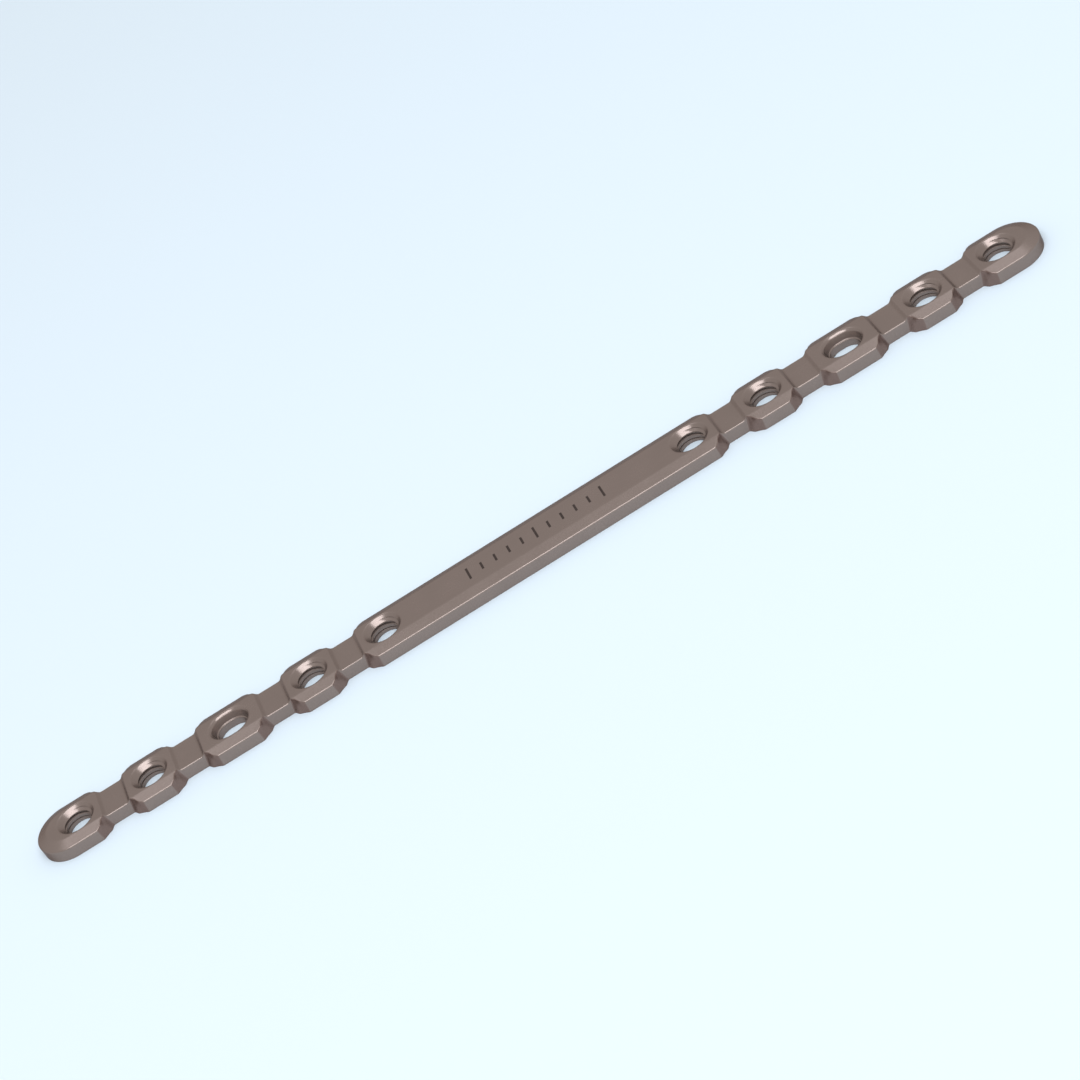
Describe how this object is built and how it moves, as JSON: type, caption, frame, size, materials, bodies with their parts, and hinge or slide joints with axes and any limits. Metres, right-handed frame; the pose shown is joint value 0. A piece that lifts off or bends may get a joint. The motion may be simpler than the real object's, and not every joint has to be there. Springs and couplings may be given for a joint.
{
  "type": "orthopedic bone plate",
  "caption": "Slim straight metal bone plate with scalloped lobes round countersunk locking holes and two slotted holes, and a solid chamfered middle bar.",
  "frame": {"origin": "middle of the underside, half way between the two inner locking holes", "axes": "+X along the plate, +Y across it, +Z from the underside to the chamfered top"},
  "size_m": [0.075, 0.0044, 0.0012],
  "materials": {
    "titanium": "satin brownish-grey anodised titanium"
  },
  "bodies": {
    "root": {"bone_plate": "titanium"}
  },
  "joints": []
}
